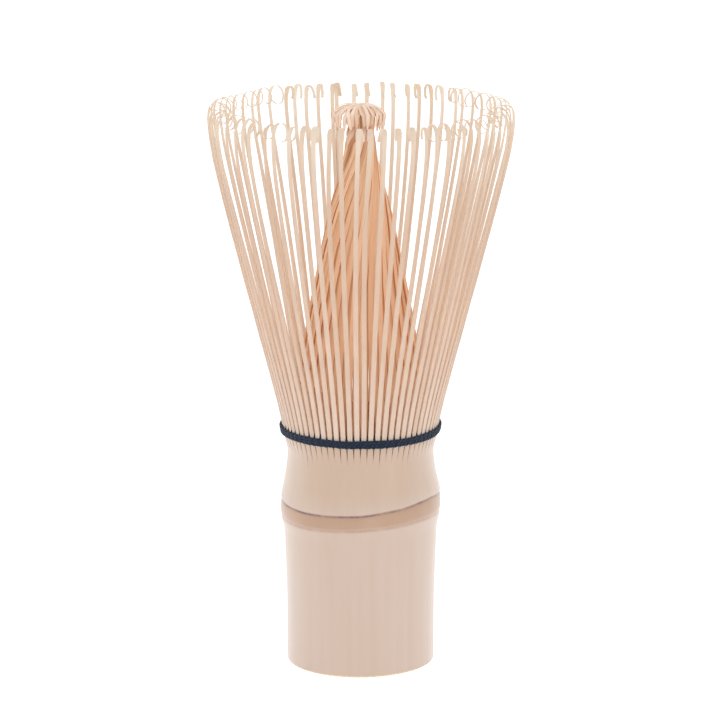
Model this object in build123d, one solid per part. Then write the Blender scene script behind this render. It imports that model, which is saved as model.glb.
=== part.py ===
from build123d import *
import math
import os

# Bamboo tea whisk (chasen). One piece of culm carries a grip below a node ridge
# and, above it, a neck split into an outer ring of curled tines and an inner
# bundle of finer tines gathered to a bun. A thread is wound between and around
# the tine roots. Millimetres; origin at the centre of the bottom face, +Z up.

# ---------------------------------------------------------------- dimensions
TINES = 72                 # tines in the outer ring, and in the inner bundle
SECTIONS = 18              # first splits of the culm; each holds 4 + 4 tines
PER_SECTION = TINES // SECTIONS
PITCH = 360.0 / TINES

# grip, node ridge and neck: (radius, height) of the outer surface
GRIP_R = 14.65
EDGE = 0.35                # broken edge round the bottom
GROOVE_Z = 33.25           # sheath scar, a fine dark groove over the ridge
GROOVE_DEPTH = 0.22
SHOULDER = [(14.65, 10.0), (14.72, 15.0), (14.89, 20.1), (15.11, 26.3),
            (15.34, 28.4), (15.72, 30.0), (15.83, 31.5), (15.76, 32.8)]
NECK = [(15.72, 33.7), (15.50, 35.5), (15.00, 38.4), (14.64, 40.8),
        (14.50, 42.6), (14.62, 43.7), (14.95, 44.7)]

# hollows of the culm
HOLLOW_R = 11.6            # below the node, open at the bottom
HOLLOW_MOUTH_R = 11.9
SEPTUM_LOW = 28.6          # underside of the septum inside the node
SEPTUM_HIGH = 31.0
SEPTUM_CORNER = 1.2
NECK_BORE_R = 12.2         # above the node, under the inner bundle
RING_TOP = 44.7            # the slits between the tines start here

# tine roots, fixed: they end inside the top edge of the thread band
ROOT_EMBED = 43.4
ROOT_TOP = 48.96
TINE_START = 49.04         # the part of a tine that flexes starts here

# outer tines: (radius, height) of the outer surface, thickness
OUTER_W = 1.0
OUTER_ROOT = [(14.42, ROOT_EMBED, 0.90), (14.90, RING_TOP, 0.90),
              (15.36, 47.0, 0.90), (15.70, ROOT_TOP, 0.88)]
OUTER_LINE = [(15.72, TINE_START, 0.88), (16.95, 54.5, 0.82), (18.45, 60.0, 0.76),
              (21.60, 72.0, 0.66), (24.75, 84.0, 0.56), (27.80, 96.0, 0.46),
              (29.40, 103.4, 0.40), (30.02, 107.0, 0.36), (30.15, 109.0, 0.34)]
# curl of an outer tip, inwards: (radius, height) of the middle of the strip
OUTER_CURL = [(29.86, 110.25), (29.53, 111.35), (28.94, 112.02), (28.22, 112.33),
              (27.47, 112.30), (26.82, 111.95), (26.36, 111.38), (26.16, 110.68),
              (26.25, 109.97), (26.60, 109.38), (27.13, 109.02)]
OUTER_TIP_T = 0.22

# inner tines: radius of the bundle's outside against height
INNER_W = 0.42
INNER_T_ROOT = 0.50
INNER_T = 0.30
INNER_ROOT_R = 13.0
INNER_LINE = [(13.00, TINE_START), (12.42, 57.0), (11.20, 66.0), (9.45, 75.0),
              (7.65, 84.0), (5.55, 93.0), (4.00, 99.0), (3.15, 103.0),
              (3.05, 106.5)]
LAYERS = 4                 # neighbouring inner tines lie in four nested layers
LAYER_STEP = 0.50
BUN_R = 3.40               # each tip turns over round this radius ...
BUN_Z = 110.35             # ... at this height
BUN_DROP = [1.0, 1.5, 2.0, 1.2]   # how far a tip hangs below that, by layer

# binding thread
THREAD_R = 0.26
THREAD_LOW = 47.20
THREAD_PITCH = 0.56
THREAD_TURNS = 2.5
THREAD_OUT_R = 15.72       # radius of the outside winding at its lowest turn
THREAD_LEAN = 9.8          # degrees: it widens upwards with the roots
THREAD_IN_R = 13.66        # winding between the outer and the inner tines
STITCH_R = 0.12            # where the thread passes in between two roots


# ------------------------------------------------------------------- helpers
def strip(middle, thickness, width):
    """A flat strip that follows (radius, height) points in one upright plane."""
    n = len(middle)
    left, right = [], []
    for i, (r, z) in enumerate(middle):
        a = middle[max(i - 1, 0)]
        b = middle[min(i + 1, n - 1)]
        dr, dz = b[0] - a[0], b[1] - a[1]
        length = math.hypot(dr, dz)
        nr, nz = dz / length, -dr / length
        if i == 0:
            nr, nz = 1.0, 0.0          # the foot is cut level
        h = thickness[i] / 2
        left.append((r + nr * h, z + nz * h))
        right.append((r - nr * h, z - nz * h))
    points = left + right[::-1]
    plane = Plane(origin=(0, 0, 0), x_dir=(1, 0, 0), z_dir=(0, -1, 0))
    face = make_face(Polyline(*points, close=True).edges())
    return extrude(plane * face, amount=width / 2, both=True)


def at_angle(shape, degrees):
    return shape.rotate(Axis.Z, degrees)


def inner_layer(k):
    return k % LAYERS


def spread(z):
    """0 where the inner tines leave the ring, 1 where they are gathered."""
    s = min(max((z - 56.0) / (90.0 - 56.0), 0.0), 1.0)
    return s * s * (3 - 2 * s)


# -------------------------------------------------------------------- handle
def make_handle():
    with BuildPart() as culm:
        with BuildSketch(Plane.XZ):
            with BuildLine():
                b0 = Line((HOLLOW_MOUTH_R, 0), (GRIP_R - EDGE, 0))
                b1 = Line(b0 @ 1, (GRIP_R, EDGE))
                b2 = Line(b1 @ 1, SHOULDER[0])
                s1 = Spline(*SHOULDER, tangents=((0, 1), (-0.12, 1)))
                g1 = Line(s1 @ 1, (SHOULDER[-1][0] - GROOVE_DEPTH, GROOVE_Z - 0.1))
                g2 = Line(g1 @ 1, (SHOULDER[-1][0] - GROOVE_DEPTH, GROOVE_Z + 0.1))
                g3 = Line(g2 @ 1, NECK[0])
                s2 = Spline(*NECK, tangents=((-0.05, 1), (0.34, 1)))
                t1 = Line(s2 @ 1, (NECK_BORE_R, RING_TOP))
                t2 = Line(t1 @ 1, (NECK_BORE_R, SEPTUM_HIGH + SEPTUM_CORNER))
                t3 = Line(t2 @ 1, (NECK_BORE_R - SEPTUM_CORNER, SEPTUM_HIGH))
                t4 = Line(t3 @ 1, (0, SEPTUM_HIGH - 0.5))
                t5 = Line(t4 @ 1, (0, SEPTUM_LOW + 0.4))
                t6 = Line(t5 @ 1, (HOLLOW_R - SEPTUM_CORNER, SEPTUM_LOW))
                t7 = Line(t6 @ 1, (HOLLOW_R, SEPTUM_LOW - SEPTUM_CORNER))
                t8 = Line(t7 @ 1, (HOLLOW_R, 4.0))
                Line(t8 @ 1, b0 @ 0)
            make_face()
        revolve(axis=Axis.Z)
    outer = strip([(r - t / 2, z) for r, z, t in OUTER_ROOT],
                  [t for _, _, t in OUTER_ROOT], OUTER_W)
    inner = strip([(INNER_ROOT_R, ROOT_EMBED), (INNER_ROOT_R, ROOT_TOP)],
                  [INNER_T_ROOT, INNER_T_ROOT], INNER_W + 0.14)
    # level the tops of the leaning roots
    trim = Box(80, 80, 10, align=(Align.CENTER, Align.CENTER, Align.MIN)).moved(
        Location((0, 0, ROOT_TOP)))
    outer = outer - trim
    roots = []
    for k in range(TINES):
        roots.append(at_angle(outer, k * PITCH))
        roots.append(at_angle(inner, k * PITCH))
    return culm.part.fuse(*[s for r in roots for s in r.solids()])


# --------------------------------------------------------------------- tines
def outer_tine():
    middle = [(r - t / 2, z) for r, z, t in OUTER_LINE]
    thick = [t for _, _, t in OUTER_LINE]
    middle += OUTER_CURL
    n = len(OUTER_CURL)
    thick += [OUTER_LINE[-1][2] + (OUTER_TIP_T - OUTER_LINE[-1][2]) * (i + 1) / n
              for i in range(n)]
    return strip(middle, thick, OUTER_W)


def inner_tine(layer):
    middle, thick = [], []
    for r, z in INNER_LINE:
        s = spread(z)
        t = INNER_T_ROOT + (INNER_T - INNER_T_ROOT) * s
        inward = (LAYERS - 1 - layer) * LAYER_STEP * s
        middle.append((r - inward - 0.15 * s, z))
        thick.append(t)
    foot = middle[-1][0]
    rho = BUN_R - foot
    steps = 8
    for i in range(steps + 1):
        a = math.pi - math.pi * i / steps
        middle.append((BUN_R + rho * math.cos(a), BUN_Z + rho * math.sin(a)))
        thick.append(INNER_T if i < steps else 0.26)
    middle.append((BUN_R + rho, BUN_Z - BUN_DROP[layer]))
    thick.append(0.20)
    return strip(middle, thick, INNER_W)


# -------------------------------------------------------------------- thread
def winding(radius, lean):
    # on a cone the height counts along the slope
    height = THREAD_PITCH * THREAD_TURNS * math.cos(math.radians(lean))
    path = Helix(pitch=THREAD_PITCH, height=height, radius=radius,
                 center=(0, 0, THREAD_LOW), cone_angle=lean)
    start = path @ 0
    section = Plane(origin=start, z_dir=path % 0) * Circle(THREAD_R)
    # the first and the last gap between two roots that this turn passes
    gap = (PITCH / 2) / (360 * THREAD_TURNS)
    return sweep(section, path=path), path @ gap, path @ (1 - gap)


def make_thread():
    outside, o0, o1 = winding(THREAD_OUT_R, THREAD_LEAN)
    inside, i0, i1 = winding(THREAD_IN_R, 0)
    stitches = []
    for a, b in ((o0, i0), (o1, i1)):
        # the thread goes in between two roots, at the level of the inside turn
        length = (a - b).length
        plane = Plane(origin=b, z_dir=(a - b).normalized())
        stitches.append(extrude(plane * Circle(STITCH_R), amount=length))
    return outside + inside + stitches[0] + stitches[1]


def write(shape, name):
    solids = [s for s in shape] if isinstance(shape, list) else shape.solids()
    whole = solids[0] if len(solids) == 1 else Compound(children=solids)
    whole.label = name
    export_step(whole, f"parts/{name}.step")


os.makedirs("parts", exist_ok=True)

write(make_handle(), "handle")
write(make_thread(), "binding_thread")

one_outer = outer_tine()
one_inner = [inner_tine(layer) for layer in range(LAYERS)]
for section in range(SECTIONS):
    tines = range(section * PER_SECTION, (section + 1) * PER_SECTION)
    write([at_angle(one_outer, k * PITCH).solid() for k in tines],
          f"outer_tines_{section + 1:02d}")
    write([at_angle(one_inner[inner_layer(k)], k * PITCH).solid() for k in tines],
          f"inner_tines_{section + 1:02d}")
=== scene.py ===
import math

import bpy
import numpy as np
from mathutils import Euler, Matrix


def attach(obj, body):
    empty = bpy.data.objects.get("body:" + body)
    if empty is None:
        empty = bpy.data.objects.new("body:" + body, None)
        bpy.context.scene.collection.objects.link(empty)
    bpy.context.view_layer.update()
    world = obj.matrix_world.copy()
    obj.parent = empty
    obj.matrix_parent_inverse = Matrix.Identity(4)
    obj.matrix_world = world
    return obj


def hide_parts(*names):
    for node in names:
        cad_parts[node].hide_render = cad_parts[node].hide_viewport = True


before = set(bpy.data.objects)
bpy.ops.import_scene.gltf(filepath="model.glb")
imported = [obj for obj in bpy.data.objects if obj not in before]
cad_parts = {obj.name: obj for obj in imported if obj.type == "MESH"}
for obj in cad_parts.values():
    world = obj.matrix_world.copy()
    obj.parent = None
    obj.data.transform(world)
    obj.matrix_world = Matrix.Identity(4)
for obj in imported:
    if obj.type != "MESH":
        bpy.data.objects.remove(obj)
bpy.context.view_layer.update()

MM = 0.001
TINES, SECTIONS, PER = 72, 18, 4
PITCH = 2 * math.pi / TINES
rng = np.random.default_rng(20611)


ROOT_TURN = math.radians(-2.5)     # the splits sit half a pitch round from the nominal angles


def root(a):
    return a + ROOT_TURN


def U(lo, hi):
    return float(rng.uniform(lo, hi))


def G(sigma):
    return float(np.clip(rng.normal(0, sigma), -2.2 * sigma, 2.2 * sigma))


# --------------------------------------------------------------- mesh helpers
class Build:
    """Collects vertices, faces and point attributes for one mesh."""

    def __init__(self):
        self.v, self.f, self.a, self.n = [], [], {}, 0

    def add(self, verts, faces, **attributes):
        verts = np.asarray(verts, float)
        self.v.append(verts)
        self.f += [tuple(i + self.n for i in f) for f in faces]
        for k, x in attributes.items():
            self.a.setdefault(k, []).append(np.broadcast_to(np.asarray(x, float), (len(verts),)))
        self.n += len(verts)

    def make(self, name, material, sharp=42):
        m = bpy.data.meshes.new(name)
        m.from_pydata((np.concatenate(self.v) * MM).tolist(), [], self.f)
        for k, parts in self.a.items():
            att = m.attributes.new(k, "FLOAT", "POINT")
            att.data.foreach_set("value", np.concatenate(parts).astype(np.float32))
        m.polygons.foreach_set("use_smooth", [True] * len(m.polygons))
        m.update()
        if sharp:
            m.set_sharp_from_angle(angle=math.radians(sharp))
        m.materials.append(material)
        o = bpy.data.objects.new(name, m)
        bpy.context.scene.collection.objects.link(o)
        return o


def unit(v):
    v = np.asarray(v, float)
    return v / np.maximum(np.linalg.norm(v, axis=-1, keepdims=True), 1e-12)


def ring_faces(rows, cols, closed=True):
    out = []
    last = cols if closed else cols - 1
    for i in range(rows - 1):
        for j in range(last):
            k = (j + 1) % cols
            out.append((i * cols + j, i * cols + k, (i + 1) * cols + k, (i + 1) * cols + j))
    return out


def strip(build, P, side, width, thick, inner=0.72, pale=0.95, **attributes):
    """A shaved bamboo strip: a wide outer face, chamfered to a narrower inner face."""
    P = np.asarray(P, float)
    n = len(P)
    side = np.broadcast_to(np.asarray(side, float), (n, 3))
    T = unit(np.gradient(P, axis=0))
    W = unit(side - (side * T).sum(1, keepdims=True) * T)
    N = np.cross(W, T)
    a = (np.broadcast_to(width, (n,)) / 2)[:, None]
    t = np.broadcast_to(thick, (n,))[:, None]
    u = np.array([-0.88, -0.35, 0.35, 0.88, 1.0, 0.5 + inner / 2, inner, 0.86 * inner, -0.86 * inner, -inner,
                  -0.5 - inner / 2, -1.0])
    v = np.array([0.47, 0.5, 0.5, 0.47, 0.34, 0.0, -0.36, -0.5, -0.5, -0.36, 0.0, 0.34])
    face = np.array([0, 0, 0, 0, 0.35, 1, 1, 1, 1, 1, 1, 0.35])
    m = len(u)
    verts = P[:, None, :] + (a * u)[:, :, None] * W[:, None, :] + (t * v)[:, :, None] * N[:, None, :]
    faces = ring_faces(n, m)
    faces.append(tuple(range(m))[::-1])
    faces.append(tuple((n - 1) * m + j for j in range(m)))
    build.add(verts.reshape(-1, 3), faces, face=np.tile(face, n), height=np.repeat(P[:, 2], m), pale=float(pale),
              **{k: (np.repeat(np.broadcast_to(x, (n,)), m)) for k, x in attributes.items()})


def polar(r, a, z):
    r, a, z = np.broadcast_arrays(np.asarray(r, float), np.asarray(a, float), np.asarray(z, float))
    return np.stack([r * np.cos(a), r * np.sin(a), z], axis=-1)


def smooth(x, lo, hi):
    s = np.clip((np.asarray(x, float) - lo) / (hi - lo), 0, 1)
    return s * s * (3 - 2 * s)


def spline(points, n):
    """Catmull-Rom through control points, resampled to n points evenly by length."""
    p = np.asarray(points, float)
    p = np.vstack([2 * p[0] - p[1], p, 2 * p[-1] - p[-2]])
    out = []
    for i in range(1, len(p) - 2):
        t = np.linspace(0, 1, 24, endpoint=False)[:, None]
        a, b, c, d = p[i - 1], p[i], p[i + 1], p[i + 2]
        out.append(0.5 * (2 * b + (c - a) * t + (2 * a - 5 * b + 4 * c - d) * t**2 + (3 * b - a - 3 * c + d) * t**3))
    out.append(p[-2][None])
    out = np.vstack(out)
    s = np.concatenate([[0], np.cumsum(np.linalg.norm(np.diff(out, axis=0), axis=1))])
    q = np.linspace(0, s[-1], n)
    return np.stack([np.interp(q, s, out[:, k]) for k in range(out.shape[1])], axis=1)


# ------------------------------------------------------------------ materials
ROOM = 1.2      # brightness of the white room round the object


def linear(c, gloss=None):
    """sRGB 0-255 to a linear albedo. With gloss, c is how the surface looks in the white room, head on."""
    v = [(x / 255 / 12.92) if x <= 10 else ((x / 255 + 0.055) / 1.055) ** 2.4 for x in c]
    if gloss is not None:
        v = [max(0.0, (x / ROOM - gloss) / (1 - gloss)) for x in v]
    return tuple(v) + (1.0,)


class Nodes:
    def __init__(self, name):
        self.mat = bpy.data.materials.new(name)
        self.mat.use_nodes = True
        self.t = self.mat.node_tree
        self.t.nodes.clear()

    def new(self, kind, **props):
        n = self.t.nodes.new(kind)
        for k, x in props.items():
            setattr(n, k, x)
        return n

    def put(self, socket, value):
        if hasattr(value, "links"):
            self.t.links.new(value, socket)
        else:
            socket.default_value = value

    def attribute(self, name):
        return self.new("ShaderNodeAttribute", attribute_name=name, attribute_type="GEOMETRY").outputs["Fac"]

    def math(self, op, a, b=0.0, c=0.0, clamp=False):
        n = self.new("ShaderNodeMath", operation=op, use_clamp=clamp)
        for i, x in enumerate((a, b, c)):
            self.put(n.inputs[i], x)
        return n.outputs[0]

    def mix(self, fac, a, b, blend="MIX"):
        n = self.new("ShaderNodeMix", data_type="RGBA", blend_type=blend)
        self.put(n.inputs[0], fac)
        self.put(n.inputs[6], a)
        self.put(n.inputs[7], b)
        return n.outputs[2]

    def noise(self, scale, stretch=(1, 1, 1), detail=3.0, rough=0.55, offset=(0, 0, 0)):
        co = self.new("ShaderNodeTexCoord").outputs["Object"]
        mp = self.new("ShaderNodeMapping")
        mp.inputs["Scale"].default_value = stretch
        mp.inputs["Location"].default_value = offset
        self.put(mp.inputs["Vector"], co)
        n = self.new("ShaderNodeTexNoise", noise_dimensions="3D")
        self.put(n.inputs["Vector"], mp.outputs[0])
        n.inputs["Scale"].default_value = scale
        n.inputs["Detail"].default_value = detail
        n.inputs["Roughness"].default_value = rough
        return n.outputs["Fac"]

    def fit(self, x, a, b, lo=0.0, hi=1.0):
        n = self.new("ShaderNodeMapRange", clamp=True)
        for i, value in enumerate((x, a, b, lo, hi)):
            self.put(n.inputs[i], value)
        return n.outputs[0]

    def bump(self, height, strength, distance):
        n = self.new("ShaderNodeBump")
        n.inputs["Strength"].default_value = strength
        n.inputs["Distance"].default_value = distance
        self.put(n.inputs["Height"], height)
        return n.outputs[0]

    def finish(self, color, roughness, normal=None, translucent=0.0, specular=0.5, sheen=0.0, coat=0.0):
        p = self.new("ShaderNodeBsdfPrincipled")
        self.put(p.inputs["Base Color"], color)
        self.put(p.inputs["Roughness"], roughness)
        p.inputs["Specular IOR Level"].default_value = specular
        self.put(p.inputs["Coat Weight"], coat)
        p.inputs["Coat Roughness"].default_value = 0.35
        if sheen:
            p.inputs["Sheen Weight"].default_value = sheen
            p.inputs["Sheen Roughness"].default_value = 0.5
        if normal is not None:
            self.put(p.inputs["Normal"], normal)
        shader = p.outputs[0]
        if translucent:
            tr = self.new("ShaderNodeBsdfTranslucent")
            self.put(tr.inputs["Color"], color)
            mx = self.new("ShaderNodeMixShader")
            self.put(mx.inputs[0], translucent)
            self.put(mx.inputs[1], shader)
            self.put(mx.inputs[2], tr.outputs[0])
            shader = mx.outputs[0]
        out = self.new("ShaderNodeOutputMaterial")
        self.put(out.inputs["Surface"], shader)
        return self.mat


def culm_material():
    """Dried bamboo skin: pale and waxy with fine upright fibres, the lines of the node, matt cut ends and bore."""
    n = Nodes("culm_skin")
    zn = n.attribute("zn")            # height along the profile, node waviness taken out, mm
    inside = n.attribute("inside")    # 0 skin, 1 bore, septum and cut ends
    groove = n.attribute("groove")    # painted shade mask: 1 at the foot of a slit between two tine roots and along the slit above it, fading out below
    g = 0.08
    streak = n.noise(620, (1, 1, 0.02), 4, 0.6)
    broad = n.noise(95, (1, 1, 0.10), 3, 0.5, (3, 1, 0))
    blotch = n.noise(120, (1, 1, 1), 3, 0.5, (0, 4, 2))
    grip = n.mix(n.fit(broad, 0.32, 0.68), linear((213, 191, 176), g), linear((217, 196, 182), g))
    neck = n.mix(n.fit(broad, 0.32, 0.68), linear((209, 184, 165), g), linear((214, 192, 174), g))
    band = n.mix(n.fit(blotch, 0.35, 0.65), linear((199, 167, 145), g), linear((191, 158, 136), g))
    color = n.mix(n.fit(zn, 33.2, 37.5), grip, neck)
    # tan band of the node, between the lower line and the ledge
    up = n.fit(zn, 30.2, 31.2)
    down = n.fit(zn, 33.6, 33.2)
    color = n.mix(n.math("MULTIPLY", up, down), color, band)
    # scar under the ledge, dark and broken
    dash = n.fit(n.noise(330, (1, 1, 0.5), 3, 0.65, (5, 5, 5)), 0.36, 0.60, 0.25, 1.0)
    fine = n.fit(n.noise(1500, (1, 1, 0.7), 2, 0.6, (2, 7, 1)), 0.30, 0.55, 0.55, 1.0)
    line = n.math("MULTIPLY", n.fit(n.math("ABSOLUTE", n.math("SUBTRACT", zn, 33.31)), 0.32, 0.06), fine)
    color = n.mix(n.math("MULTIPLY", line, dash), color, linear((112, 82, 80)))
    line2 = n.fit(n.math("ABSOLUTE", n.math("SUBTRACT", zn, 30.55)), 0.40, 0.06)
    color = n.mix(n.math("MULTIPLY", line2, n.math("MULTIPLY", dash, 0.60)), color, linear((160, 124, 106)))
    color = n.mix(n.fit(streak, 0.38, 0.75, 0.0, 0.16), color, linear((196, 166, 144), g))
    # painted shade: the slits between tine roots and the skin just under their feet darkened to brown
    color = n.mix(n.math("MULTIPLY", groove, 0.66), color, linear((158, 104, 78)))
    fibre = n.noise(2600, (1, 1, 0.35), 2, 0.6)
    bore = n.mix(n.fit(fibre, 0.4, 0.62), linear((226, 205, 178)), linear((200, 172, 140)))
    color = n.mix(inside, color, bore)
    rough = n.math("ADD", n.math("MULTIPLY", inside, 0.30), n.fit(streak, 0.3, 0.8, 0.34, 0.46))
    h = n.math("ADD", n.math("MULTIPLY", streak, 0.6), n.math("MULTIPLY", blotch, 0.4))
    coat = n.fit(inside, 0.0, 0.2, 1.0, 0.0)
    return n.finish(color, rough, n.bump(h, 0.18, 0.00010), specular=0.5, coat=coat)


def tine_material(name, skin, cut, high, foot, tip, thin_root, thin, thin_tip, contrast, pale_from, bend, neck_shade=0.0):
    """Shaved bamboo: skin side and cut sides, painted lighter near the root to lift the shade low in the bundle,
    fading paler towards the thin tip.
    """
    n = Nodes(name)
    height, face, rnd = n.attribute("height"), n.attribute("face"), n.attribute("rnd")
    streak = n.noise(900, (1, 1, 0.03), 3, 0.6)
    cut = n.mix(n.fit(height, 72.0, 92.0), cut, high)
    color = n.mix(face, skin, cut)
    # painted light: the foot colour lifts the shade low in the bundle, strongest at the bottom
    color = n.mix(n.fit(height, 66.0, 46.0, 0.0, 0.6), color, foot)
    fade = n.math("POWER", n.fit(height, pale_from, 109.3), bend)
    color = n.mix(n.math("MULTIPLY", fade, n.attribute("pale")), color, tip)
    color = n.mix(n.fit(streak, 0.35, 0.7, 0.0, 0.25), color, cut)
    if neck_shade:                          # painted shade: some strands darkened to deep orange where the bundle is drawn in under the bun
        span = n.math("MULTIPLY", n.fit(height, 97.0, 103.0), n.fit(height, 109.2, 107.2))
        part = n.math("MULTIPLY", span, n.fit(rnd, 0.62, 0.40, 0.0, neck_shade))
        color = n.mix(part, color, linear((206, 138, 92)))
    tones = n.new("ShaderNodeCombineColor")
    for i, swing in enumerate((0.5, 1.0, 1.6)):
        n.put(tones.inputs[i], n.fit(rnd, 0.0, 1.0, 1 - swing * contrast, 1 + 0.4 * swing * contrast))
    color = n.mix(1.0, color, tones.outputs[0], "MULTIPLY")
    return n.finish(color, n.fit(streak, 0.3, 0.8, 0.42, 0.58), n.bump(streak, 0.15, 0.00008),
                    translucent=n.math("ADD", n.fit(height, 52.0, 80.0, thin_root, thin),
                                       n.fit(height, 98.0, 110.0, 0.0, thin_tip - thin)), specular=0.5)


def thread_material():
    n = Nodes("thread_navy")
    ply = n.attribute("ply")
    fibre = n.noise(3800, (1, 1, 1), 2, 0.6)
    wave = n.math("SINE", ply)
    # painted highlight and shade: the navy is lighter and darker in bands following the twist of the plies
    color = n.mix(n.fit(wave, -0.9, 0.9), linear((18, 26, 40)), linear((36, 49, 68)))
    color = n.mix(n.fit(fibre, 0.50, 0.78, 0.0, 0.5), color, linear((58, 72, 94)))
    h = n.math("ADD", n.math("MULTIPLY", wave, 0.5), n.math("MULTIPLY", fibre, 0.5))
    return n.finish(color, 0.9, n.bump(h, 0.5, 0.00010), specular=0.15, sheen=0.12)


culm = culm_material()
# the fourth colour given to each tine material is painted light lifting the shade near the root
outer_mat = tine_material("outer_bamboo_painted_light", linear((223, 201, 182)), linear((248, 235, 221)), linear((237, 223, 208)),
                          linear((229, 206, 188)), linear((241, 233, 223)), 0.26, 0.42, 0.74, 0.07, 94.0, 1.6)
# the last argument is the strength of the painted shade on the neck strands under the bun
inner_mat = tine_material("inner_bamboo_painted_light_and_shade", linear((250, 214, 176)), linear((247, 207, 166)), linear((247, 207, 166)),
                          linear((255, 230, 202)), linear((244, 226, 209)), 0.38, 0.38, 0.22, 0.20, 103.5, 1.0, 0.70)
thread_mat = thread_material()

# --------------------------------------------------------------------- handle
# waviness of the node round the culm: angle in degrees, ledge lift, lower line lift (mm)
WAVE = [(0, 1.30, 0.20), (30, 1.0, 0.2), (60, 0.8, 0.1), (90, 0.6, 0.05), (120, 0.45, -0.1), (150, 0.2, -0.3),
        (180, 0.0, -0.5), (195, -0.15, -0.62), (212, -0.30, -0.70), (225, -0.42, -0.75), (244, -0.33, -0.58),
        (255, -0.20, -0.42), (270, -0.05, -0.25), (278, 0.16, -0.08), (288, 0.50, 0.04), (303, 0.87, 0.25),
        (317, 1.40, 0.50), (333, 1.70, 0.50), (345, 1.45, 0.42), (360, 1.30, 0.20)]


def lift(a, column):
    d = np.degrees(a) % 360
    return np.interp(d, [w[0] for w in WAVE], [w[column] for w in WAVE])


# skin profile (radius, height), from the foot up to where the thread sits
SKIN = [(14.64, 0.35), (14.65, 3.0), (14.64, 8.0), (14.68, 12.5), (14.76, 16.5),
        (14.89, 20.1), (15.02, 23.4), (15.12, 26.2), (15.25, 27.8), (15.46, 28.9), (15.66, 29.7), (15.76, 30.2),
        (15.70, 30.5), (15.70, 30.65), (15.80, 30.95), (15.88, 31.5), (15.89, 32.1), (15.84, 32.7),
        (15.72, 33.1), (15.56, 33.3), (15.58, 33.42), (15.80, 33.62), (15.82, 33.85), (15.74, 34.3), (15.58, 35.1),
        (15.36, 36.1), (15.12, 37.4), (14.90, 38.8), (14.68, 40.4), (14.52, 41.9), (14.47, 42.9), (14.52, 43.6),
        (14.64, 44.3), (14.82, 45.0), (15.03, 45.7), (15.26, 46.6), (15.50, 47.75)]
FOOT = [(12.05, 0.0), (14.30, 0.0), (14.52, 0.10), (14.64, 0.35)]
BORE = [(12.20, 42.6), (12.20, 33.2), (12.0, 32.0), (11.2, 31.3), (9.0, 31.0), (5.0, 30.7), (0.6, 30.55)]
UNDER = [(0.6, 28.95), (5.0, 28.8), (9.2, 28.65), (10.8, 28.1), (11.5, 27.0), (11.6, 25.0), (11.62, 12.0),
         (11.75, 3.0), (11.9, 0.3), (12.05, 0.0)]
SUB = 8
COLS = TINES * SUB
Z_TOP = 47.75


def warp(z, a):
    """Moves profile heights with the node's waviness, fading out above and below it."""
    lo, hi = lift(a, 2), lift(a, 1)
    k = np.interp(z, [26.0, 30.55, 33.3, 39.5], [0, 0, 1, 1])
    shift = lo * (1 - k) + hi * k
    return z + shift * smooth(z, 25.0, 30.5) * (1 - smooth(z, 33.6, 40.5))


def wobble(a, z=0.0):
    """The culm is not quite round."""
    return np.sin(2 * a + 0.6) * 0.10 + np.sin(3 * a + 2.1) * 0.05 + np.sin(7 * a + z * 0.05) * 0.015


slit_z = np.clip(44.8 + rng.normal(0, 0.38, TINES), 43.9, 45.6)
for k, foot in ((10, 43.6), (33, 43.7), (46, 42.9), (47, 43.9), (58, 43.9), (63, 44.0)):
    slit_z[k] = foot

handle = Build()
edge = root((np.arange(COLS) - SUB // 2) / COLS * 2 * math.pi)   # column 0 is the slit before tine 0
profile = np.vstack([spline(SKIN[:28], 150), spline(SKIN[27:], 74)[1:]])
rows = len(profile)
index, verts, zn, groove = {}, [], [], []
for i, (r, z) in enumerate(profile):
    for c in range(COLS):
        slit = c % SUB == 0
        k = (c // SUB) % TINES
        foot = slit_z[k]
        split = slit and z > foot
        for turn in ((-1, 1) if split else (0,)):
            gap = 0.15 * ((z - foot) / (Z_TOP - foot)) ** 0.7 / r if split else 0.0
            a = edge[c] + turn * gap
            place = abs((c % SUB) - SUB / 2) / (SUB / 2)
            crown = -0.07 * place**3 * smooth(z, 43.6, 45.6)
            zz = warp(z, a) if z < 41 else z
            verts.append(polar(r + wobble(a, z) + crown, a, zz))
            zn.append(z)
            near = foot - z
            groove.append(float(np.clip(1 - near / 1.5, 0, 1)) if slit and near > 0 else (1.0 if split else 0.0))
            for t in ((turn,) if split else (-1, 1)):
                index[(i, c, t)] = len(verts) - 1
faces = []
for i in range(rows - 1):
    for c in range(COLS):
        d = (c + 1) % COLS
        faces.append((index[(i, c, 1)], index[(i, d, -1)], index[(i + 1, d, -1)], index[(i + 1, c, 1)]))
handle.add(np.array(verts), faces, zn=np.array(zn), inside=0.0, groove=np.array(groove))
# inner faces and flanks of the tine roots
low = int(np.searchsorted(profile[:, 1], 42.4))
for k in range(TINES):
    out_l = np.array([verts[index[(i, k * SUB, 1)]] for i in range(low, rows)])
    out_r = np.array([verts[index[(i, ((k + 1) * SUB) % COLS, -1)]] for i in range(low, rows)])
    zz = profile[low:, 1]
    shrink = 1 - 1.0 / profile[low:, 0]
    in_l = out_l * np.stack([shrink, shrink, np.ones(len(zz))], axis=1)
    in_r = out_r * np.stack([shrink, shrink, np.ones(len(zz))], axis=1)
    m = len(zz)
    for a, b in ((out_l, in_l), (in_l, in_r), (in_r, out_r)):
        handle.add(np.vstack([a, b]), [(i, m + i, m + i + 1, i + 1)[::-1] for i in range(m - 1)],
                   zn=np.tile(zz, 2), inside=1.0, groove=0.0)


def lathe(build, outline, inside, round_off):
    o = np.array(outline, float)
    a = edge
    put = np.concatenate([polar(r + wobble(a, z) * round_off, a, np.full(COLS, z)) for r, z in o])
    build.add(put, ring_faces(len(o), COLS), zn=np.repeat(o[:, 1], COLS), inside=float(inside), groove=0.0)


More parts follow.
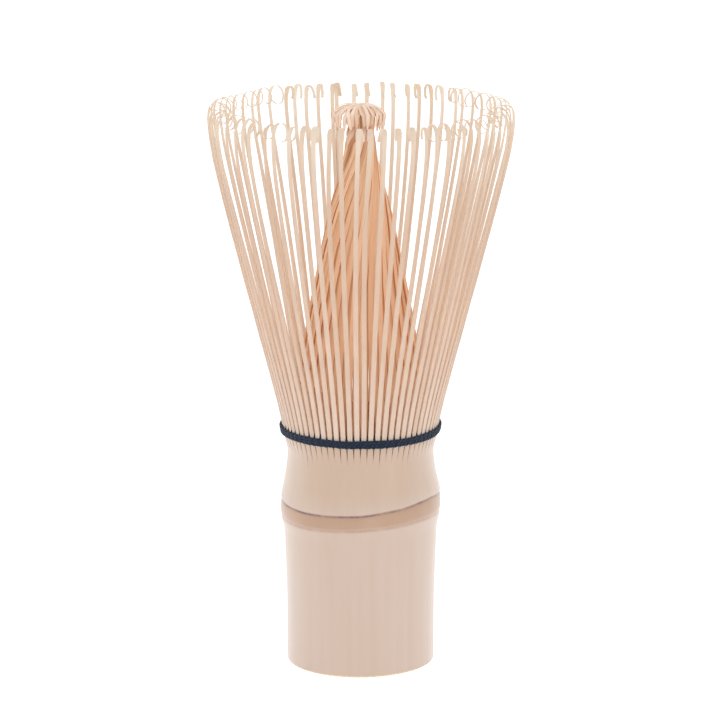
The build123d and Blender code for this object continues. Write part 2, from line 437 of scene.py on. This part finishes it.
lathe(handle, FOOT, 1, 1.0)
lathe(handle, [(13.9, 42.6), (12.20, 42.6)], 1, 0.0)
lathe(handle, BORE, 1, 0.0)
lathe(handle, UNDER, 1, 0.0)
for zc, flip in ((30.55, False), (28.95, True)):
    ring = polar(0.6, edge, zc)
    c = len(ring)
    disc = np.vstack([ring, [[0, 0, zc]]])
    fan = [(j, (j + 1) % c, c) if not flip else ((j + 1) % c, j, c) for j in range(c)]
    handle.add(disc, fan, zn=zc, inside=1.0, groove=0.0)
handle_obj = handle.make("handle_culm", culm, 38)
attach(handle_obj, "handle_body")
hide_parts("handle")

# ---------------------------------------------------------------- outer tines
OUT_Z = [47.4, 49.0, 51.0, 54.1, 57.2, 60.2, 63.2, 66.3, 69.3, 72.4, 75.4, 78.4, 81.4, 84.4, 87.4, 90.4, 93.4, 96.4,
         99.4, 102.1, 104.5, 106.9, 109.0, 110.2]
OUT_R = [15.40, 15.68, 16.10, 16.85, 17.65, 18.45, 19.25, 20.12, 20.92, 21.70, 22.52, 23.32, 24.08, 24.85, 25.65,
         26.40, 27.15, 27.88, 28.58, 29.20, 29.62, 29.95, 30.10, 29.98]
# how far each tine has sprung out of place by its tip, mm: sideways, sideways bow, outward
SPRUNG = [(0.3, 0.2, -0.6), (-0.3, 0.4, 0.2), (0.1, 0.1, 0.3), (-0.3, 0.5, 0.2), (0.5, 0.4, 0.5),
          (-0.1, 0.2, 0.3), (0.2, 0.1, 0.3), (-0.7, 0.6, 0.3), (-0.4, 0.2, 0.3), (-0.4, -0.2, 0.2),
          (0.3, -0.2, 0.7), (-1.1, -1, 0.1), (-0.5, -0.5, 0), (-0.4, -0.9, 0.3), (-0.5, -0.6, -0.1),
          (-0.7, -0.9, 0), (-0.2, -0.5, -0.2), (-0.6, -0.4, 0), (0, 0, 0), (0, 0, 0), (0.9, 0.4, 0),
          (-0.8, -0.6, 0), (-0.5, -0.4, 0.1), (-0.4, -0.3, -0.3), (-0.6, -0.5, -0.1), (-1.3, -1.1, 0),
          (-0.3, -1, 0.5), (-0.1, -0.4, 0.5), (-0.6, -1, 0), (-0.3, 0.1, -0.1), (0.3, -0.7, -0.2),
          (0.2, 0.2, 0), (0, 0.1, 0.1), (0.1, 1, 0.3), (0, 0, 0.1), (0, 0.1, 0.2), (-0.3, -0.3, -0.2),
          (-0.1, -0.1, -0.7), (0, 0.1, -0.7), (-0.1, -0.2, -0.1), (0, 0, 0), (0, 0, 0.1), (-0.4, 0.1, 0.6),
          (-0.2, 0, 0.2), (-0.5, -0.7, -0.4), (0, 0.1, 0.3), (-0.8, -0.6, 0.4), (0.3, -0.9, -0.1),
          (-0.3, -0.6, 0.1), (0.5, -0.3, 0.1), (0.5, -0.1, 0), (0.2, -0.3, 0), (0.7, -0.8, 0), (0.3, -0.2, 0),
          (0.9, -0.4, 0), (0.5, -1, 0), (0.6, -0.2, 0), (0.8, 0, 0), (1, -0.1, 0), (1.1, 0.7, -0.2),
          (0.6, 0.3, 0.1), (0.5, 0.2, 0.4), (1.6, 0, 0.1), (1.2, -0.6, -0.1), (0.6, -0.6, 0.2), (0.8, -0.5, 0),
          (0.5, -1, 0), (0.2, -0.1, 0.1), (0.5, -0.1, 0.5), (0, 0, 0), (-0.1, -0.4, -0.2), (-0.1, -0.2, -0.7)]


OPEN = set(range(11, 26)) | set(range(50, 60))       # tips that turn over without closing into a ring


def outer_tine(build, k):
    a0 = root(k * PITCH)
    er = np.array([math.cos(a0), math.sin(a0), 0])
    et = np.array([-math.sin(a0), math.cos(a0), 0])
    dt, bow, dr = SPRUNG[k]
    z = np.linspace(47.85, 110.2, 48)
    base = len(z)
    r = np.interp(z, OUT_Z, OUT_R)
    s = np.clip((z - 49) / 60, 0, 1.05)
    thick = np.interp(z, [47, 60, 80, 100, 110], [0.86, 0.74, 0.52, 0.34, 0.22])
    r = r + dr * s**1.6 - thick / 2
    tau = dt * s**1.5 + bow * np.sin(math.pi * np.clip(s, 0, 1)) * s
    # the curled tip: over and inward in the tine's own upright plane, drifting a little out of it
    alpha = math.atan2(z[-1] - z[-3], r[-1] - r[-3])
    turn = math.radians(U(225, 320) if rng.random() < 0.78 else U(330, 480))
    size = U(0.84, 1.10)
    wide = U(0.88, 1.15)
    if k in OPEN:
        turn = math.radians(U(200, 222) if k < 30 else U(195, 235))
        size, wide = size * 0.96, U(0.68, 0.88)
    skew = G(0.13) if k not in range(13, 24) else -0.15 + G(0.05)
    skew = {27: -0.15, 28: 0.15, 47: -0.15, 48: 0.15}.get(k, skew)      # these neighbours part their curls
    rr, zz, tt = [r[-1]], [z[-1]], [tau[-1]]
    slope = (tau[-1] - tau[-3]) / (z[-1] - z[-3])
    done = 0.0
    while done < turn:
        d = math.degrees(done)
        rho = np.interp(d, [0, 20, 60, 180, 300, 400, 520], [3.2, 2.2, 1.85, 1.70, 1.42, 1.15, 0.95]) * size
        ds = rho * math.radians(8)
        alpha += math.radians(8)
        done += math.radians(8)
        rr.append(rr[-1] + math.cos(alpha) * ds * wide)
        zz.append(zz[-1] + math.sin(alpha) * ds)
        tt.append(tt[-1] + ds * (slope * max(0.0, 1 - d / 60) + skew * smooth(d, 20, 140)))
    r = np.concatenate([r, rr[1:]])
    z = np.concatenate([z, zz[1:]])
    tau = np.concatenate([tau, tt[1:]])
    P = r[:, None] * er + tau[:, None] * et
    P[:, 2] = z
    n = len(P)
    curl = smooth(np.arange(n), base - 4, base + 3)
    fan = U(0.98, 1.12) if k in OPEN else U(0.76, 0.94)
    if k in range(51, 59):
        fan += 0.08
    width = np.concatenate([np.interp(z[:base], [47, 60, 80, 100, 110], [1.02, 1.0, 0.95, 0.88, 0.83]),
                            np.full(n - base, 0.83)])
    if 9 <= k <= 27:
        width *= np.interp(np.arange(n), [5, 30], [1.0, 0.90])
    width = width * (1 - curl) + fan * curl
    width[base + 3:] *= np.interp(np.arange(n - base - 3), [0, 4, 9, 18, n], [1, 0.88, 0.60, 0.54, 0.40])
    thick = np.concatenate([thick, np.full(n - base, thick[-1])]) * (1 - curl) + 0.10 * curl
    twist = G(0.14)
    tw = twist * np.concatenate([s**2, np.full(n - base, s[-1] ** 2)])
    if k not in OPEN:
        tw = tw + G(0.3) * smooth(np.arange(n), base - 4, base + 10)
    side = np.cos(tw)[:, None] * et + np.sin(tw)[:, None] * er
    strip(build, P, side, width, thick, inner=0.70, rnd=U(0, 1))


for j in range(SECTIONS):
    b = Build()
    for k in range(j * PER, (j + 1) * PER):
        outer_tine(b, k)
    name = f"outer_tines_{j + 1:02d}"
    o = b.make(f"outer_split_{j + 1:02d}", outer_mat)
    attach(o, f"outer_section_{j + 1:02d}")
    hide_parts(name)

# ---------------------------------------------------------------- inner tines
IN_Z = [42.5, 49.0, 54.0, 60.0, 66.0, 72.0, 78.0, 84.0, 90.0, 95.0, 99.0, 102.0, 105.0]
IN_R = [13.0, 12.95, 12.50, 11.95, 11.20, 10.15, 8.95, 7.75, 6.45, 5.20, 4.10, 3.40, 3.05]
# lean of the gathered bundle: height, degrees turned about the axis
TWIST_Z = [42, 60, 70, 78, 85, 92, 98, 105]
TWIST_A = [0, 0, 1.5, 4, 9, 19, 36, 72]
# where the turned-over tips fall, in degrees about the axis: share of the tips up to each angle
FALL_SHARE = [0.0, 0.335, 0.345, 0.665, 0.685, 0.835, 0.865, 1.0]
FALL_ANGLE = [-4, 172, 180, 263, 281, 298, 324, 356]


def inner_tine(build, k):
    a0 = k * PITCH
    layer = (0, 2, 1, 3)[k % 4]
    z = np.linspace(42.6, 105.0, 52)
    gather = smooth(z, 60, 96)
    depth = 0.17 * layer + U(-0.08, 0.08)
    r = np.interp(z, IN_Z, IN_R) + G(0.12) * np.sin(math.pi * np.clip((z - 49) / 50, 0, 1)) - 0.22
    r = r - depth * gather - 0.25 * (k % 2) * smooth(z, 50, 66) * (1 - smooth(z, 72, 90))
    sway = G(0.035)
    a = a0 + np.radians(np.interp(z, TWIST_Z, TWIST_A)) + sway * gather
    P = polar(r, a, z)
    neck = math.degrees(a[-1]) % 360
    fall = np.interp(((neck + 4) % 360) / 360, FALL_SHARE, FALL_ANGLE)
    fall = neck + G(6) if layer == 3 else fall + G(3.4)
    out = math.radians(fall)
    eu = np.array([0, 0, 1.0])

    def heading(turned):
        return np.array([math.cos(out + turned), math.sin(out + turned), 0])

    eo = heading(0)
    sweep = G(0.10)
    r_neck = r[-1]
    if layer == 3:
        reach, top, low = 4.2 + U(-0.3, 0.3), 111.5 + U(-0.15, 0.1), 107.4 + U(-0.5, 0.6)
    else:
        reach, top, low = 5.28 - 0.12 * layer + U(-0.25, 0.14), 112.2 - 0.13 * layer + U(-0.1, 0.1), 108.5 + U(-0.45, 0.4)
    reach -= 0.40 * math.cos(out)
    if 176 <= fall <= 206 and layer < 3:
        low -= 2.2 * (206 - fall) / 24
    c1 = heading(sweep) * (r_neck * 0.88) + eu * 107.2
    c2 = heading(2.2 * sweep) * (r_neck * 0.50) + eu * 109.8
    c3 = heading(2.6 * sweep) * (0.75 - 0.12 * layer) + eu * (top - 0.16)
    c4 = heading(1.4 * sweep) * (0.54 * reach + 0.2) + eu * top
    c5 = heading(0.5 * sweep) * (0.90 * reach) + eu * (top - 0.95)
    c6 = eo * reach + eu * (0.5 * (top + low) + 0.2)
    c7 = heading(-0.3 * sweep) * (reach - U(-0.08, 0.35)) + eu * low
    tip = spline([P[-3], P[-2], P[-1], c1, c2, c3, c4, c5, c6, c7], 56)
    keep = np.argmin(np.linalg.norm(tip - P[-2], axis=1)) + 1
    tip = tip[keep:]
    P = np.vstack([P[:-1], tip])
    n, m = len(P), 51
    flat = np.array([-eo[1], eo[0], 0])
    rad = unit(P * np.array([1, 1, 0]))
    tan = np.stack([-rad[:, 1], rad[:, 0], np.zeros(n)], axis=1)
    w = smooth(np.arange(n), m, m + 10)[:, None]
    side = unit(tan * (1 - w) + flat * w)
    ribbon = U(0.54, 0.80)
    width = np.interp(np.arange(n), [0, 14, 28, 40, m - 2, m + 8, m + 20, n - 5, n - 1],
                      [0.98, 1.0, 1.0, 0.90, 0.76, 0.72, ribbon, ribbon, 0.5 * ribbon])
    thick = np.interp(np.arange(n), [0, 20, m, m + 10, n - 1], [0.42, 0.38, 0.30, 0.16, 0.10])
    tone = U(0.0, 0.3) if layer == 3 else U(0, 1)
    strip(build, P, side, width, thick, inner=0.8, pale=0.3 if layer == 3 else 0.95, rnd=tone)


for j in range(SECTIONS):
    b = Build()
    for k in range(j * PER, (j + 1) * PER):
        inner_tine(b, k)
    name = f"inner_tines_{j + 1:02d}"
    o = b.make(f"inner_split_{j + 1:02d}", inner_mat)
    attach(o, f"inner_section_{j + 1:02d}")
    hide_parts(name)


# --------------------------------------------------------------------- thread
def cord_tube(build, P, radius, plies=7.0, m=12):
    P = np.asarray(P, float)
    n = len(P)
    rad = unit(P * np.array([1, 1, 0]))
    T = unit(np.gradient(P, axis=0))
    N = unit(rad - (rad * T).sum(1, keepdims=True) * T)
    B = np.cross(T, N)
    R = np.broadcast_to(radius, (n,))[:, None, None]
    q = np.arange(m) / m * 2 * math.pi
    s = np.concatenate([[0], np.cumsum(np.linalg.norm(np.diff(P, axis=0), axis=1))])
    ply = s[:, None] * plies + q[None] * 2
    bulge = 1 + 0.09 * np.cos(ply)
    put = P[:, None] + R * bulge[:, :, None] * (np.cos(q)[None, :, None] * N[:, None] + np.sin(q)[None, :, None] * B[:, None])
    faces = ring_faces(n, m)
    faces.append(tuple(range(m))[::-1])
    faces.append(tuple((n - 1) * m + j for j in range(m)))
    build.add(put.reshape(-1, 3), faces, ply=ply.reshape(-1))


thread = Build()
turns = 3.0
q = np.linspace(0, turns * 2 * math.pi, int(72 * 12 * turns)) + math.radians(60)
over = np.cos((q - ROOT_TURN) * TINES)  # +1 over a tine, -1 over a slit
lump = np.exp(-((((np.degrees(q) % 360) - 260) / 7.0) ** 2))
slow = 0.05 * np.sin(3 * q + 1) + 0.04 * np.sin(7.3 * q)
zt = 47.02 + 0.46 * (q - q[0]) / (2 * math.pi) + 0.05 * over + slow - 0.10 * lump
rt = np.interp(zt, [46.5, 47.0, 48.0, 49.0], [15.27, 15.34, 15.50, 15.68]) + 0.24 + 0.05 * over
cord_tube(thread, polar(rt, q, zt), 0.315 + 0.03 * lump)
# what shows in the slits: the winding between the outer and the inner tines
q = np.linspace(0, 3.4 * 2 * math.pi, int(72 * 8 * 3.4))
zt = 47.3 + 0.50 * q / (2 * math.pi) + 0.05 * np.sin(5 * q)
rt = np.interp(zt, [47, 50], [14.42, 14.80]) - 0.28
cord_tube(thread, polar(rt, q, zt), 0.32)
# the thread dips in between neighbouring tines
for k in range(TINES):
    a = root((k + 0.5) * PITCH) + G(0.004)
    top = 49.35 + G(0.2)
    pts = [polar(15.50, a, 46.9), polar(15.62, a, 48.0), polar(15.55, a, 48.7), polar(15.45, a, top)]
    cord_tube(thread, spline(np.array(pts), 12), np.interp(np.arange(12), [0, 3, 7, 11], [0.12, 0.26, 0.22, 0.05]), 9.0, 8)
thread_obj = thread.make("thread_binding", thread_mat, 0)
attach(thread_obj, "handle_body")
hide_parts("binding_thread")

# ------------------------------------------------------- studio, light, camera
def flat_material(name, color, glow):
    n = Nodes(name)
    p = n.new("ShaderNodeBsdfDiffuse")
    p.inputs["Color"].default_value = color
    e = n.new("ShaderNodeEmission")
    e.inputs["Color"].default_value = (1, 1, 1, 1)
    e.inputs["Strength"].default_value = glow
    s = n.new("ShaderNodeAddShader")
    n.put(s.inputs[0], p.outputs[0])
    n.put(s.inputs[1], e.outputs[0])
    out = n.new("ShaderNodeOutputMaterial")
    n.put(out.inputs["Surface"], s.outputs[0])
    return n.mat


fm = bpy.data.meshes.new("studio_floor")
half = 4.0
fm.from_pydata([(-half, -half, -0.0002), (half, -half, -0.0002), (half, half, -0.0002), (-half, half, -0.0002)], [], [(0, 1, 2, 3)])
floor = bpy.data.objects.new("studio_floor", fm)
fm.materials.append(flat_material("floor_white", (0.34, 0.34, 0.34, 1), 0.88))
bpy.context.scene.collection.objects.link(floor)

world = bpy.data.worlds.new("studio")
world.use_nodes = True
bg = world.node_tree.nodes["Background"]
bg.inputs["Color"].default_value = (1, 1, 1, 1)
bg.inputs["Strength"].default_value = ROOM
bpy.context.scene.world = world

cam = bpy.data.cameras.new("camera")
cam.sensor_width = 36.0
cam.lens = 185.45
cam.clip_start, cam.clip_end = 0.01, 20
co = bpy.data.objects.new("camera", cam)
co.location = (0.0, -0.71568, 0.22565)
co.rotation_mode = "QUATERNION"
co.rotation_quaternion = Euler((math.radians(90 - 12.94), 0, math.radians(0.006))).to_quaternion()
bpy.context.scene.collection.objects.link(co)
bpy.context.scene.camera = co

vs = bpy.context.scene.view_settings
vs.view_transform = "Standard"
vs.look = "None"
vs.exposure = 0.0
vs.gamma = 1.0
bpy.context.scene.cycles.max_bounces = 12
bpy.context.scene.cycles.diffuse_bounces = 8
